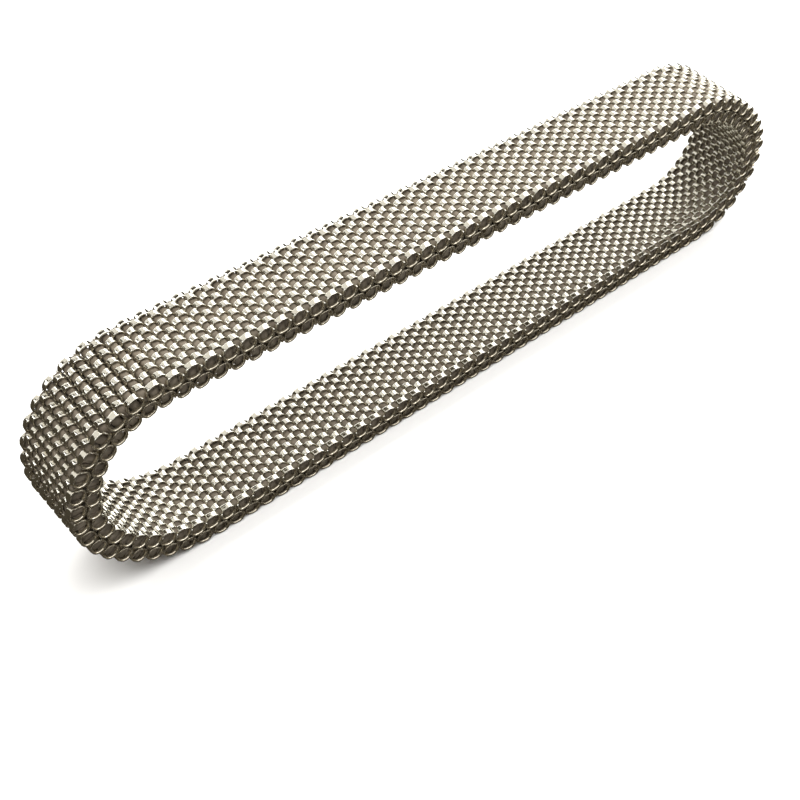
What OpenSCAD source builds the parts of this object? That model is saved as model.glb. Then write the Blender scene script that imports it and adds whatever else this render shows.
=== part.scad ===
// Endless mesh bracelet of woven wire, lying on its long side as a flattened loop.
// X runs along the loop, Y across the band and Z up from the surface that it lies on.

/* [Weave] */
// Spacing of the rings along the middle of the band
ring_pitch = 1.7; // [1.4:0.05:2.1]
// Number of rings round the loop
ring_count = 110; // [100:1:124]
// Spacing of one coil's turns, measured across the band
turn_pitch = 1.13; // [0.9:0.01:1.4]
// Number of turns in each coil
turn_count = 7; // [5:1:11]
// Thickness of the band between its inner and outer faces
band_t = 3; // [2.2:0.1:3.6]
// Flat that is pressed on each coil, measured along the band
coil_flat = 0.7; // [0.4:0.05:0.8]
// Depth of the notch between two rings at the band's edges
notch_depth = 0.6; // [0.3:0.05:0.9]

/* [Loop] */
// Overall height of the loop where its low end meets the upper run
low_end_h = 20.5; // [16:0.1:26]
// Slope of the upper run, in degrees, rising to the high end
run_slope = 2; // [0:0.25:4]

/* [Hidden] */

// Columns of the bend tables. A bend is a chain of arcs in the order that the loop passes them, and a
// radius is a share of the height that the bend climbs. The last arc takes the turn that is left.
RADIUS = 0;
TURN = 1;
LOW_BEND = [[0.384, 122.4], [1.037, 22.9], [0.640, 0]];
HIGH_BEND = [[0.409, 72.3], [0.484, 48.9], [0.644, 0]];

// Columns of a coil's outline: place along the band as a share of the ring pitch, and share of the notch
ALONG = 0;
SUNK = 1;
flat_half = coil_flat / ring_pitch / 2;
COIL_OUTLINE = [[-0.5, 1], [-flat_half, 0], [flat_half, 0]];

// Place of the first ring past the start of the lower run, as a share of the ring pitch
first_ring = 0.87;

band_w = turn_count * turn_pitch;
loop_l = ring_count * ring_pitch;
low_rise = low_end_h - band_t;
low_turn = 180 - run_slope;
high_turn = 180 + run_slope;

function total(v, i = 0) = i == len(v) ? 0 : v[i] + total(v, i + 1);
function turn_before(bend, i) = i == 0 ? 0 : turn_before(bend, i - 1) + bend[i - 1][TURN];
function turn_of(bend, i, whole) = i == len(bend) - 1 ? whole - turn_before(bend, i) : bend[i][TURN];

// What a bend that starts at a heading climbs, for its radii as they stand in the table
function climb(bend, whole, heading) = abs(total([for (i = [0 : len(bend) - 1])
    let (a = heading + turn_before(bend, i), b = a + turn_of(bend, i, whole))
    bend[i][RADIUS] * (cos(a) - cos(b))]));
// How far along X a bend reaches, and how long it is, as shares of its climb
function advance(bend, whole, heading) = total([for (i = [0 : len(bend) - 1])
    let (a = heading + turn_before(bend, i), b = a + turn_of(bend, i, whole))
    bend[i][RADIUS] * (sin(b) - sin(a))]) / climb(bend, whole, heading);
function arc_length(bend, whole, heading) = total([for (i = [0 : len(bend) - 1])
    bend[i][RADIUS] * turn_of(bend, i, whole) * PI / 180]) / climb(bend, whole, heading);

low_x = advance(LOW_BEND, low_turn, 0);
low_l = arc_length(LOW_BEND, low_turn, 0);
high_x = advance(HIGH_BEND, high_turn, low_turn);
high_l = arc_length(HIGH_BEND, high_turn, low_turn);

// The two straight runs close the loop at its full length
upper_run = (loop_l - (low_l - low_x + high_l - high_x) * low_rise)
    / (1 + cos(run_slope) + (high_l - high_x) * sin(run_slope));
high_rise = low_rise + upper_run * sin(run_slope);
lower_run = loop_l - low_l * low_rise - upper_run - high_l * high_rise;

// Each stretch of the loop is a length and a radius, with a radius of 0 for a straight run
function bend_arcs(bend, whole, heading, rise) = [for (i = [0 : len(bend) - 1])
    let (r = bend[i][RADIUS] * rise / climb(bend, whole, heading))
    [r * turn_of(bend, i, whole) * PI / 180, r]];
STRETCHES = concat([[lower_run, 0]], bend_arcs(LOW_BEND, low_turn, 0, low_rise),
                   [[upper_run, 0]], bend_arcs(HIGH_BEND, high_turn, low_turn, high_rise));

// Place and heading at a length s along a stretch
function moved(place, s, r) = let (p = place[0], h = place[1])
    r == 0 ? [p + s * [cos(h), sin(h)], h]
    : let (b = h + s / r * 180 / PI) [p + r * [sin(b) - sin(h), cos(h) - cos(b)], b];
function stretch_starts(place, i = 0) = i == len(STRETCHES) ? []
    : concat([place], stretch_starts(moved(place, STRETCHES[i][0], STRETCHES[i][1]), i + 1));
STARTS = stretch_starts([[0, band_t / 2], 0]);
function loop_place(s, i = 0) = s > STRETCHES[i][0] && i < len(STRETCHES) - 1
    ? loop_place(s - STRETCHES[i][0], i + 1) : moved(STARTS[i], s, STRETCHES[i][1]);

// A point at a length s round the loop and a distance out from the middle of the band
function loop_point(s, out) = let (place = loop_place(s - loop_l * floor(s / loop_l)))
    place[0] + out * [sin(place[1]), -cos(place[1])];

// One face of the band: side is 1 for the outer face and -1 for the inner one, and shift moves the coils
// along by a share of the ring pitch
function face(side, shift) = [for (k = [0 : ring_count - 1]) for (p = COIL_OUTLINE)
    loop_point((first_ring + shift + k + p[ALONG]) * ring_pitch, side * (band_t / 2 - notch_depth * p[SUNK]))];

OUTER = face(1, 0);
centre_x = (min([for (p = OUTER) p[0]]) + max([for (p = OUTER) p[0]])) / 2;

// Every second coil of the loop, side by side
module coils(width, shift) {
    translate([-centre_x, width / 2, 0]) rotate([90, 0, 0]) linear_extrude(width) difference() {
        polygon(face(1, shift));
        polygon(face(-1, shift));
    }
}

// The coils that end in rings reach both edges, and the coils between them stop half a turn short of each
module mesh_band() {
    color("silver") union() {
        coils(band_w, 0);
        coils(band_w - turn_pitch, 0.5);
    }
}

mesh_band();
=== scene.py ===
# Endless mesh bracelet of woven steel wire, lying on its long side as a flattened loop.
# The band is a run of coils that lie across it, each threaded through its neighbours, and each coil is a
# strand of three wires side by side. Coils of the two hands take turns, so that their strokes lie on each
# face like a herringbone. Dull flat bars inside the coils close the weave to the light; their dark brown
# stands partly for a core inside the weave and partly for painted shade in its holes.
from math import cos, pi, radians, sin, tan

import bpy
import numpy as np
from mathutils import Matrix, Vector


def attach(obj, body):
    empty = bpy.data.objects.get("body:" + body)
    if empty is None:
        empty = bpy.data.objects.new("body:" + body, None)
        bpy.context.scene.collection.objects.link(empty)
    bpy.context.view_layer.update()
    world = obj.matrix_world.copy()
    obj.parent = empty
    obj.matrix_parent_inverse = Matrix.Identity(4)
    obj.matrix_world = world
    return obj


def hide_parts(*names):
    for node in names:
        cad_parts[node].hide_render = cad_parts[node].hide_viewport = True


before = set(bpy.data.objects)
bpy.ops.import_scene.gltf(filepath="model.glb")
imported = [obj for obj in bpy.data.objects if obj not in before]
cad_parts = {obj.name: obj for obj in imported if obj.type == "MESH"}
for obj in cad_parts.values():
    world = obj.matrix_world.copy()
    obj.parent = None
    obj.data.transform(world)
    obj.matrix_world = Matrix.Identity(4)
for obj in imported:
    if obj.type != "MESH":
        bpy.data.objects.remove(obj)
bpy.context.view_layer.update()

MM = 0.001

# The weave, in millimetres: rings along the band's edges, turns of a coil across it, and its thickness
RING_PITCH = 1.7
RING_COUNT = 110
TURN_PITCH = 1.17
TURN_COUNT = 7
BAND_T = 3.0

# Where along the loop the first coil lies, in rings
FIRST_RING = 0.87

# The loop, in millimetres and degrees. A bend is a chain of arcs, each with its radius, as a share of the
# bend's climb, and its turn. A bend's last arc turns through what is left.
LOW_END_H = 20.5
RUN_SLOPE = 2.0
LOW_BEND = ((0.384, 122.4), (1.037, 22.9), (0.640, 0.0))
HIGH_BEND = ((0.409, 72.3), (0.484, 48.9), (0.644, 0.0))
LOOP_SAMPLES = 40000

# The strand of three wires side by side, in millimetres: one wire's radius, and the strand's outline as
# places across it and out of the weave
WIRE_R = 0.10
STRAND_OUTLINE = (
    (-0.31, 0.0), (-0.27, 0.075), (-0.20, 0.10), (-0.10, 0.04), (0.0, 0.10), (0.10, 0.04), (0.20, 0.10),
    (0.27, 0.075), (0.31, 0.0), (0.24, -0.08), (0.0, -0.10), (-0.24, -0.08))

# The flattened round that a coil winds on, in millimetres and degrees: its half width, how square it is (2
# for an ellipse), how far the strokes on its faces lean, and the steps of a turn, drawn and measured
COIL_HALF_W = 0.50
ROUNDNESS = 2.8
STROKE_LEAN = 11.0
TURN_STEPS = 22
FINE_STEPS = 2000

# A coil's widened ends: the turns from its middle between which it widens, and the half width there
WIDENS = (2.5, 2.9)
END_HALF_W = 0.74

# How far a coil's wire goes on past its last stroke, in turns, and in millimetres the radius of that end
# loop and how far out across the band it steps
END_TURN = 0.8
END_LOOP_R = 0.67
END_OUT = 0.06

# The smaller rings that round off a wire's tips, in degrees up the dome
DOME_STEPS = (40, 75)

# How far to either side of a point of a coil its direction is taken, in turns
TANGENT_STEP = 0.004

# The flat bar inside each coil, in millimetres, and how square it is (1 for an ellipse, 0 for a rectangle)
BAR_HALF_W = 0.38
BAR_HALF_H = 1.24
BAR_HALF_L = 3.5
BAR_SIDES = 16
BAR_SQUARENESS = 0.4

# How soon a wire counts as lying on a face, as a multiple of its height over the band's middle
FACE_SHARE = 3

# How unevenly the coils lie, in millimetres and degrees
COIL_SHIFT = 0.02
COIL_TILT = 1.0
SEED = 11

# How far the upper run's coils lie from their even places along the loop, in millimetres, and between
# which lengths of the loop this sets in and fades
CREEP = -0.27
CREEP_SETS_IN = (60.0, 96.0)
CREEP_FADES = (130.0, 154.0)

# The meshes that the coils are shared out to
PIECES = 5

# The steel of the wire, from where it faces into the band to where it faces out of it: how far out it faces
# there, its tint, its roughness and how metallic it is. The tint is painted shade, darker and browner where
# the wire faces into the band.
WIRE_FACING = (0.35, 0.75)
WIRE_TINTS_AND_SHADE = ((0.62, 0.57, 0.46), (0.86, 0.85, 0.78))
WIRE_ROUGHNESS = (0.2, 0.08)
WIRE_METALLIC = (0.93, 1.0)

# The wire's soft patches: their scale and detail, and how much they count beside the facing
WIRE_PATCH_SCALE = 900
WIRE_PATCH_DETAIL = 3
WIRE_PATCH_SHARE = 0.25

# The bars' dull brown, partly a core's own colour and partly painted shade of the weave's holes: its two
# tints, where in the patches each lies, and its finish
BAR_TINTS_AND_SHADE = ((0.12, 0.097, 0.071), (0.22, 0.185, 0.14))
BAR_TINTS_AT = (0.3, 0.7)
BAR_PATCH_SCALE = 700
BAR_PATCH_DETAIL = 2
BAR_METALLIC = 0.2
BAR_ROUGHNESS = 0.6

# The photograph's view, in millimetres and radians, with the lens in pixels
CAMERA_PLACE = (-66.26, -64.79, 96.75)
CAMERA_AZIMUTH = 0.755
CAMERA_DOWN = 0.839
CAMERA_ROLL = 0.066
LENS_PX = 1320.585
IMAGE_PX = 800
SENSOR = 36

# How near the camera sees, in metres
CLIP_START = 0.005

# The floor, its side in metres
FLOOR = 1.1
FLOOR_TINT = (0.9, 0.9, 0.9)
FLOOR_ROUGHNESS = 0.9

# The backdrop's dome, its radius in metres
BACKDROP_R = 4
BACKDROP_SEGMENTS = 64
BACKDROP_RINGS = 32

# The windows, in metres and degrees: how far off and how wide they are, and for each one the way to it
# from +Y towards +X, and where it begins and ends above level
WINDOW_DISTANCE = 0.75
WINDOW_W = 0.55
WINDOWS = ((-25, 10, 34), (15, 10, 38), (55, 12, 54), (95, 12, 54))

# The lamps that hang over the table and face it, in metres
CEILING_PLACE = (0.2, 0.33, 0.8)
CEILING_SIZE = (2.4, 0.85)
STRIP_PLACE = (0.2, -0.26, 0.8)
STRIP_SIZE = (2.4, 0.24)
TABLE_FILL_PLACE = (0, 0, 0.9)
TABLE_FILL_SIZE = (1.2, 1.2)

# Brightness of the lights, 1 being white in the picture
WINDOW = 2.2
CEILING = 0.8
STRIP = 2.2
TABLE_FILL = 3.0

# Colours of the lights, and of the dim room round them
DAYLIGHT = (1, 0.99, 0.96)
WARM = (1, 0.96, 0.88)
WHITE = (1, 1, 1)
SHADE = (0.064, 0.053, 0.037)

LOOP_L = RING_PITCH * RING_COUNT
COIL_COUNT = 2 * RING_COUNT
LAST_STROKE = (TURN_COUNT - 1) / 2
HALF_H = BAND_T / 2 - WIRE_R


def unit(v):
    return v / np.linalg.norm(v, axis=-1, keepdims=True)


def signed_power(v, p):
    return np.sign(v) * np.abs(v) ** p


def share_between(v, ends):
    """How far v has come from the first end to the second, from 0 to 1."""
    return np.clip((v - ends[0]) / (ends[1] - ends[0]), 0, 1)


def bend_arcs(bend, whole, heading):
    """The bend's arcs as (radius share, start, turn) in degrees, with its climb, reach and length."""
    arcs = []
    start = heading
    for i, (share, turn) in enumerate(bend):
        turn = turn if i < len(bend) - 1 else heading + whole - start
        arcs.append((share, start, turn))
        start += turn
    climb = abs(sum(r * (cos(radians(a)) - cos(radians(a + t))) for r, a, t in arcs))
    reach = sum(r * (sin(radians(a + t)) - sin(radians(a))) for r, a, t in arcs) / climb
    length = sum(r * radians(t) for r, a, t in arcs) / climb
    return arcs, climb, reach, length


def arc_stretches(arcs, climb, rise):
    """The arcs of a bend as lengths and radii, for a bend that rises so far."""
    scale = rise / climb
    return [(r * scale * radians(t), r * scale) for r, a, t in arcs]


def loop_stretches():
    """Each stretch of the loop as a length and a radius, 0 for a straight run."""
    low, low_climb, low_x, low_l = bend_arcs(LOW_BEND, 180 - RUN_SLOPE, 0)
    high, high_climb, high_x, high_l = bend_arcs(HIGH_BEND, 180 + RUN_SLOPE, 180 - RUN_SLOPE)
    slope = radians(RUN_SLOPE)
    low_rise = LOW_END_H - BAND_T
    bends = (low_l - low_x + high_l - high_x) * low_rise
    upper = (LOOP_L - bends) / (1 + cos(slope) + (high_l - high_x) * sin(slope))
    high_rise = low_rise + upper * sin(slope)
    lower = LOOP_L - low_l * low_rise - upper - high_l * high_rise
    low_arcs = arc_stretches(low, low_climb, low_rise)
    high_arcs = arc_stretches(high, high_climb, high_rise)
    return [(lower, 0)] + low_arcs + [(upper, 0)] + high_arcs


def moved(place, s, radius):
    """The place and heading at a length s along a stretch."""
    x, z, h = place
    if radius == 0:
        return x + s * np.cos(h), z + s * np.sin(h), h + 0 * s
    b = h + s / radius
    return x + radius * (np.sin(b) - np.sin(h)), z + radius * (np.cos(h) - np.cos(b)), b


class Loop:
    """The middle line of the band."""

    def __init__(self):
        self.stretches = loop_stretches()
        self.starts = []
        place = (0.0, BAND_T / 2, 0.0)
        for length, radius in self.stretches:
            self.starts.append(place)
            place = tuple(float(v) for v in moved(place, length, radius))
        self.marks = np.concatenate([[0], np.cumsum([length for length, radius in self.stretches])])
        x, z, h = self.at(np.linspace(0, LOOP_L, LOOP_SAMPLES))
        outer = x + BAND_T / 2 * np.sin(h)
        self.centre_x = (outer.min() + outer.max()) / 2

    def at(self, s):
        """The place and heading at a length s round the loop."""
        s = np.mod(np.asarray(s, float), LOOP_L)
        x, z, h = np.zeros_like(s), np.zeros_like(s), np.zeros_like(s)
        last = len(self.stretches) - 1
        which = np.clip(np.searchsorted(self.marks, s, side="right") - 1, 0, last)
        for i, (length, radius) in enumerate(self.stretches):
            m = which == i
            x[m], z[m], h[m] = moved(self.starts[i], s[m] - self.marks[i], radius)
        return x, z, h


def coil_place(c):
    """A coil's length along the loop, with the upper run's coils set a little back."""
    s = (FIRST_RING + c / 2) * RING_PITCH
    return s + CREEP * (share_between(s, CREEP_SETS_IN) - share_between(s, CREEP_FADES))


def set_on_loop(points, loop, s, tilt):
    """A coil's points in the scene, with the coil turned a little about the line across the band."""
    x, z, h = (float(v) for v in loop.at(s))
    a, y, o = points[..., 0], points[..., 1], points[..., 2]
    c, n = cos(h + tilt), sin(h + tilt)
    return np.stack([x - loop.centre_x + a * c + o * n, y, z + a * n - o * c], axis=-1)


def coil_section(turn):
    """The flattened round that a coil winds on: how far along the band and how far out of its middle."""
    p = pi / 2 + 2 * pi * turn
    along = COIL_HALF_W * signed_power(np.cos(p), 2 / ROUNDNESS)
    out = HALF_H * signed_power(np.sin(p), 2 / ROUNDNESS)
    return along, out


def coil_advance(turn):
    """How far across the band the wire has come: strokes on the faces lean more than the sides between."""
    fine = np.linspace(0, 1, FINE_STEPS + 1)
    along, out = coil_section(fine)
    lean = np.tan(radians(STROKE_LEAN))
    rest = (TURN_PITCH - 4 * COIL_HALF_W * lean) / (4 * HALF_H)
    steps = lean * np.abs(np.diff(along)) + rest * np.abs(np.diff(out))
    across = np.concatenate([[0], np.cumsum(steps)])
    whole = np.floor(turn)
    return whole * TURN_PITCH + np.interp(turn - whole, fine, across)


def centre_line(turn, hand):
    """A coil's middle line. Turns count from its middle stroke, which lies on the outer face in a coil of
    hand 1 and on the inner face in one of hand -1. Its ends loop round past the last stroke."""
    shift = 0 if hand == 1 else 0.5
    along, out = coil_section(turn + shift)
    along = along * (1 + (END_HALF_W / COIL_HALF_W - 1) * share_between(np.abs(turn), WIDENS))
    across = coil_advance(np.abs(turn) + shift) - coil_advance(shift)
    past = np.maximum(np.abs(turn) - LAST_STROKE, 0)
    end_across = LAST_STROKE * TURN_PITCH + END_OUT * np.sin(2 * pi * np.minimum(past, 0.25))
    end_out = hand * (HALF_H - END_LOOP_R + END_LOOP_R * np.cos(2 * pi * past))
    across = np.where(past > 0, end_across, across)
    out = np.where(past > 0, end_out, out)
    return np.stack([hand * along, np.sign(turn) * across, out], axis=-1)


def away_from_middle(turn, hand, centre):
    """The way out of the round that a coil winds on, at each point of its middle line."""
    in_end = np.abs(turn) > LAST_STROKE
    half_w = np.where(in_end, END_HALF_W, COIL_HALF_W)
    half_h = np.where(in_end, END_LOOP_R, HALF_H)
    middle = np.where(in_end, hand * (HALF_H - END_LOOP_R), 0)
    return np.stack([centre[:, 0] / half_w ** 2, 0 * turn, (centre[:, 2] - middle) / half_h ** 2], axis=-1)


def with_domes(centre, ring, tangent):
    """The rings of a wire with its ends rounded off by a few smaller rings."""
    slopes = np.radians(DOME_STEPS)[:, None, None]
    start = centre[:1] + np.cos(slopes) * ring[:1] - np.sin(slopes) * WIRE_R * tangent[:1]
    finish = centre[-1:] + np.cos(slopes) * ring[-1:] + np.sin(slopes) * WIRE_R * tangent[-1:]
    return np.concatenate([start[::-1], centre + ring, finish])


def wire_tube(turn, hand):
    """Rings of points round a coil's strand, which keeps between the band's faces."""
    centre = centre_line(turn, hand)
    tangent = unit(centre_line(turn + TANGENT_STEP, hand) - centre_line(turn - TANGENT_STEP, hand))
    side = unit(np.cross(tangent, away_from_middle(turn, hand, centre)))
    up = np.cross(side, tangent)
    outline = np.array(STRAND_OUTLINE)
    ring = outline[:, :1] * side[:, None, :] + outline[:, 1:] * up[:, None, :]
    points = with_domes(centre[:, None, :], ring, tangent[:, None, :])
    points[..., 2] = np.clip(points[..., 2], -BAND_T / 2, BAND_T / 2)
    return points


def coil_points(hand):
    """One coil's wire in its own frame: x along the band, y across it and z out of its outer face."""
    end = LAST_STROKE + END_TURN
    turn = np.linspace(-end, end, int(round(2 * end * TURN_STEPS)) + 1)
    return wire_tube(turn, hand)


def bar_points():
    """The flat bar inside a coil, in the coil's own frame."""
    angle = np.linspace(0, 2 * pi, BAR_SIDES, endpoint=False) + pi / BAR_SIDES
    across = np.array([-BAR_HALF_L, BAR_HALF_L])[:, None] + 0 * angle
    along = BAR_HALF_W * signed_power(np.cos(angle), BAR_SQUARENESS) + 0 * across
    out = BAR_HALF_H * signed_power(np.sin(angle), BAR_SQUARENESS) + 0 * across
    return np.stack([along, across, out], axis=-1)


def facing_out(points):
    """How far each point of a coil's wire faces out of the band: 1 on the faces, 0 and less inside."""
    along = np.gradient(points, axis=0)
    around = np.roll(points, -1, axis=1) - np.roll(points, 1, axis=1)
    middle = points.mean(axis=1, keepdims=True)
    normal = unit(np.cross(along, around))
    normal *= np.sign(np.sum(normal * (points - middle), axis=-1, keepdims=True))
    side = np.clip(FACE_SHARE * middle[..., 2] / HALF_H, -1, 1)
    return normal[..., 2] * side


def tube_faces(rows, sides):
    """Four-sided faces of a tube with flat ends."""
    i, j = np.meshgrid(np.arange(rows - 1), np.arange(sides), indexing="ij")
    a, b = i * sides + j, i * sides + (j + 1) % sides
    wall = np.stack([a, b, b + sides, a + sides], axis=-1).reshape(-1, 4)
    k = np.arange(sides // 2 - 1)
    start = np.stack([k, sides - 1 - k, sides - 2 - k, k + 1], axis=-1)
    finish = start[:, ::-1] + (rows - 1) * sides
    return np.concatenate([wall, start, finish])


def make_mesh(name, vertices, quads):
    mesh = bpy.data.meshes.new(name)
    mesh.vertices.add(len(vertices))
    mesh.vertices.foreach_set("co", np.asarray(vertices, np.float32).ravel())
    mesh.loops.add(len(quads) * 4)
    mesh.loops.foreach_set("vertex_index", np.asarray(quads, np.int32).ravel())
    mesh.polygons.add(len(quads))
    mesh.polygons.foreach_set("loop_start", np.arange(len(quads), dtype=np.int32) * 4)
    mesh.polygons.foreach_set("use_smooth", np.ones(len(quads), dtype=bool))
    mesh.update(calc_edges=True)
    piece = bpy.data.objects.new(name, mesh)
    bpy.context.scene.collection.objects.link(piece)
    return piece


def tubes(name, parts):
    """Tubes of one kind in one mesh, each given as rings of points in millimetres."""
    rows, sides = parts[0].shape[:2]
    faces = tube_faces(rows, sides)
    vertices = np.concatenate([part.reshape(-1, 3) for part in parts]) * MM
    return make_mesh(name, vertices, np.concatenate([faces + i * rows * sides for i in range(len(parts))]))


def coils(name, loop, first, last):
    """A run of coils in one mesh, which says for its material how far each point faces out of the band."""
    wires = (coil_points(1), coil_points(-1))
    facing = [facing_out(points).ravel() for points in wires]
    rng = np.random.default_rng(SEED + first)
    parts = []
    for c in range(first, last):
        s = coil_place(c) + rng.uniform(-COIL_SHIFT, COIL_SHIFT)
        tilt = radians(rng.uniform(-COIL_TILT, COIL_TILT))
        parts.append(set_on_loop(wires[c % 2], loop, s, tilt))
    piece = tubes(name, parts)
    # How far each point faces out of the band, which sets the wire's painted shade in its material.
    layer = piece.data.attributes.new("facing", "FLOAT", "POINT")
    values = np.concatenate([facing[c % 2] for c in range(first, last)])
    layer.data.foreach_set("value", values.astype(np.float32))
    return piece


def cores(name, loop):
    """The bars inside the coils, which close the weave to the light."""
    bar = bar_points()
    return tubes(name, [set_on_loop(bar, loop, coil_place(c), 0) for c in range(COIL_COUNT)])


def new_material(name):
    """A new material and its shader."""
    material = bpy.data.materials.new(name)
    material.use_nodes = True
    return material, material.node_tree.nodes["Principled BSDF"]


def set_inputs(node, values):
    for name, value in values.items():
        node.inputs[name].default_value = value


def patches(tree, scale, detail):
    """Soft patches through the bracelet, as a value that varies from place to place."""
    place = tree.nodes.new("ShaderNodeTexCoord")
    noise = tree.nodes.new("ShaderNodeTexNoise")
    set_inputs(noise, {"Scale": scale, "Detail": detail})
    tree.links.new(place.outputs["Object"], noise.inputs["Vector"])
    return noise.outputs["Fac"]


def tinted(tree, source, at, tints):
    """A colour that goes from the first tint to the second as the source goes from at[0] to at[1]."""
    node = tree.nodes.new("ShaderNodeValToRGB")
    for i in range(2):
        node.color_ramp.elements[i].position = at[i]
        node.color_ramp.elements[i].color = (*tints[i], 1)
    tree.links.new(source, node.inputs["Fac"])
    return node.outputs["Color"]


def graded(tree, source, at, values):
    """A value that goes from values[0] to values[1] as the source goes from at[0] to at[1]."""
    node = tree.nodes.new("ShaderNodeMapRange")
    set_inputs(node, {"From Min": at[0], "From Max": at[1], "To Min": values[0], "To Max": values[1]})
    tree.links.new(source, node.inputs["Value"])
    return node.outputs["Result"]


def steel():
    """Steel wire, polished where it faces out of the band and rougher inside the weave, with painted shade:
    a darker, browner tint where it faces into the band.
    """
    material, shader = new_material("steel_wire")
    tree = material.node_tree
    facing = tree.nodes.new("ShaderNodeAttribute")
    facing.attribute_name = "facing"
    polish_and_shade = tree.nodes.new("ShaderNodeMath")
    polish_and_shade.operation = "MULTIPLY_ADD"
    polish_and_shade.inputs[1].default_value = WIRE_PATCH_SHARE
    tree.links.new(patches(tree, WIRE_PATCH_SCALE, WIRE_PATCH_DETAIL), polish_and_shade.inputs[0])
    tree.links.new(facing.outputs["Fac"], polish_and_shade.inputs[2])
    # Painted shade: the tint turns darker and browner where the wire faces into the band.
    tint = tinted(tree, polish_and_shade.outputs[0], WIRE_FACING, WIRE_TINTS_AND_SHADE)
    roughness = graded(tree, polish_and_shade.outputs[0], WIRE_FACING, WIRE_ROUGHNESS)
    metallic = graded(tree, polish_and_shade.outputs[0], WIRE_FACING, WIRE_METALLIC)
    tree.links.new(tint, shader.inputs["Base Color"])
    tree.links.new(roughness, shader.inputs["Roughness"])
    tree.links.new(metallic, shader.inputs["Metallic"])
    return material


def bar_steel_and_shade():
    """The bars' dull brown steel, partly a core's own colour and partly painted shade of the weave's holes.
    """
    material, shader = new_material("bar_steel_and_shade")
    tree = material.node_tree
    set_inputs(shader, {"Metallic": BAR_METALLIC, "Roughness": BAR_ROUGHNESS})
    # Partly painted shade: the bars' tint is the dark brown of the weave's holes.
    tint = tinted(tree, patches(tree, BAR_PATCH_SCALE, BAR_PATCH_DETAIL), BAR_TINTS_AT, BAR_TINTS_AND_SHADE)
    tree.links.new(tint, shader.inputs["Base Color"])
    return material


def stand_for_band(piece, material):
    """Gives a piece its metal, and puts it in the place of the plain band."""
    piece.data.materials.append(material)
    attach(piece, "root")
    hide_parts("mesh_band")


def bracelet():
    loop = Loop()
    metal = steel()
    for i in range(PIECES):
        first, last = i * COIL_COUNT // PIECES, (i + 1) * COIL_COUNT // PIECES
        stand_for_band(coils(f"coils_{i + 1}", loop, first, last), metal)
    stand_for_band(cores("cores", loop), bar_steel_and_shade())


def camera():
    """The camera looks down CAMERA_DOWN from level, along CAMERA_AZIMUTH from +Y towards +X."""
    a, e, roll = CAMERA_AZIMUTH, CAMERA_DOWN, CAMERA_ROLL
    ahead = Vector((sin(a) * cos(e), cos(a) * cos(e), -sin(e)))
    level = Vector((cos(a), -sin(a), 0))
    upright = level.cross(ahead)
    right = cos(roll) * level + sin(roll) * upright
    up = -sin(roll) * level + cos(roll) * upright
    data = bpy.data.cameras.new("camera")
    data.sensor_width = SENSOR
    data.lens = SENSOR * LENS_PX / IMAGE_PX
    data.clip_start = CLIP_START
    eye = bpy.data.objects.new("camera", data)
    bpy.context.scene.collection.objects.link(eye)
    columns = zip(right, up, -ahead, Vector(CAMERA_PLACE) * MM)
    eye.matrix_world = Matrix([list(row) for row in columns] + [[0, 0, 0, 1]])
    bpy.context.scene.camera = eye


def floor():
    bpy.ops.mesh.primitive_plane_add(size=FLOOR)
    plane = bpy.context.object
    plane.name = "floor"
    material, shader = new_material("floor")
    set_inputs(shader, {"Base Color": (*FLOOR_TINT, 1), "Roughness": FLOOR_ROUGHNESS})
    plane.data.materials.append(material)
    plane.visible_glossy = False


def backdrop():
    """A white dome that only the camera sees, so that it adds no light to the metal."""
    bpy.ops.mesh.primitive_uv_sphere_add(
        radius=BACKDROP_R, segments=BACKDROP_SEGMENTS, ring_count=BACKDROP_RINGS)
    dome = bpy.context.object
    dome.name = "backdrop"
    material, shader = new_material("backdrop")
    set_inputs(shader, {"Base Color": (0, 0, 0, 1), "Specular IOR Level": 0})
    set_inputs(shader, {"Emission Color": (*WHITE, 1), "Emission Strength": 1})
    dome.data.materials.append(material)
    dome.visible_diffuse = False
    dome.visible_glossy = False
    dome.visible_transmission = False
    dome.visible_shadow = False


def lamp(name, place, target, size, brightness, colour):
    """A flat soft light of an even brightness, facing its target. Places and sizes are in metres."""
    light = bpy.data.lights.new(name, "AREA")
    light.shape = "RECTANGLE"
    light.size, light.size_y = size
    light.energy = brightness * pi * size[0] * size[1]
    light.color = colour
    piece = bpy.data.objects.new(name, light)
    piece.location = place
    piece.rotation_euler = (Vector(target) - Vector(place)).to_track_quat("-Z", "Y").to_euler()
    bpy.context.scene.collection.objects.link(piece)
    return piece


def windows():
    """A curved bright wall beyond the bracelet, higher on its right."""
    for i, (azimuth, low, high) in enumerate(WINDOWS):
        a, up = radians(azimuth), radians(low + high) / 2
        tall = 2 * WINDOW_DISTANCE * tan(radians(high - low) / 2)
        place = WINDOW_DISTANCE * Vector((sin(a) * cos(up), cos(a) * cos(up), sin(up)))
        lamp(f"window_{i + 1}", place, (0, 0, 0), (WINDOW_W, tall), WINDOW, DAYLIGHT)


def hanging_lamp(name, place, size, brightness, colour):
    """A lamp that faces straight down."""
    return lamp(name, place, (*place[:2], 0), size, brightness, colour)


def dim_room():
    """The dim room that the metal mirrors between the lights."""
    world = bpy.data.worlds.new("world")
    bpy.context.scene.world = world
    world.use_nodes = True
    set_inputs(world.node_tree.nodes["Background"], {"Color": (*SHADE, 1)})


def lights():
    windows()
    hanging_lamp("ceiling", CEILING_PLACE, CEILING_SIZE, CEILING, WARM)
    hanging_lamp("strip", STRIP_PLACE, STRIP_SIZE, STRIP, DAYLIGHT)
    fill = hanging_lamp("table_fill", TABLE_FILL_PLACE, TABLE_FILL_SIZE, TABLE_FILL, WHITE)
    fill.visible_glossy = False
    dim_room()


def picture_tones():
    """Plain tones, so that a brightness of 1 comes out white."""
    bpy.context.scene.view_settings.view_transform = "Standard"


bracelet()
camera()
floor()
backdrop()
lights()
picture_tones()
